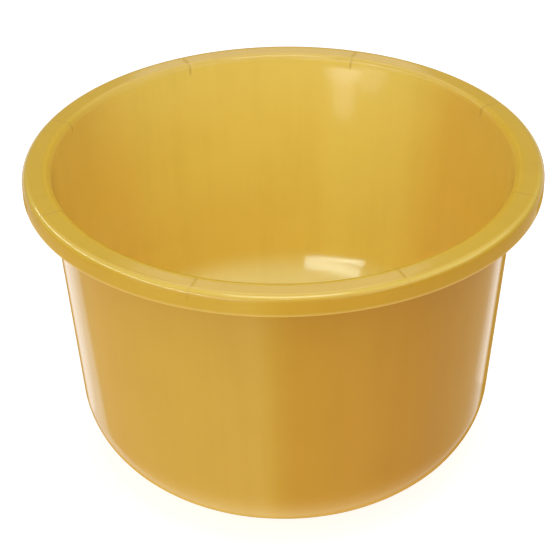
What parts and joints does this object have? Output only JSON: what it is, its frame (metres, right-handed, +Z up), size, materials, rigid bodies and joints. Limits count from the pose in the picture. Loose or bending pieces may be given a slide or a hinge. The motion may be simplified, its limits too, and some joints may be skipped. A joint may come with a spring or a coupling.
{
  "type": "deep round wash basin",
  "caption": "Deep round household basin: thin glossy plastic bowl with a rounded heel, a slightly leaning side wall and a flat rim turned down into a short ribbed skirt.",
  "frame": {"origin": "where the basin's axis meets the surface it stands on, in the plane of the foot ring's lower face", "axes": "+Z up along the basin's axis, out of its mouth; +X and +Y lie midway between two neighbouring rim ribs"},
  "size_m": [0.3, 0.3, 0.195],
  "materials": {
    "gold_plastic": "glossy injection-moulded polypropylene, pearlescent gold all through, with faint flow lines and sink marks over the ribs"
  },
  "bodies": {
    "root": {"side_wall": "gold_plastic", "heel": "gold_plastic", "floor": "gold_plastic", "foot_ring": "gold_plastic", "rim_flange": "gold_plastic", "rim_skirt": "gold_plastic", "rim_ribs": "gold_plastic", "gate_vestige": "gold_plastic"}
  },
  "joints": []
}
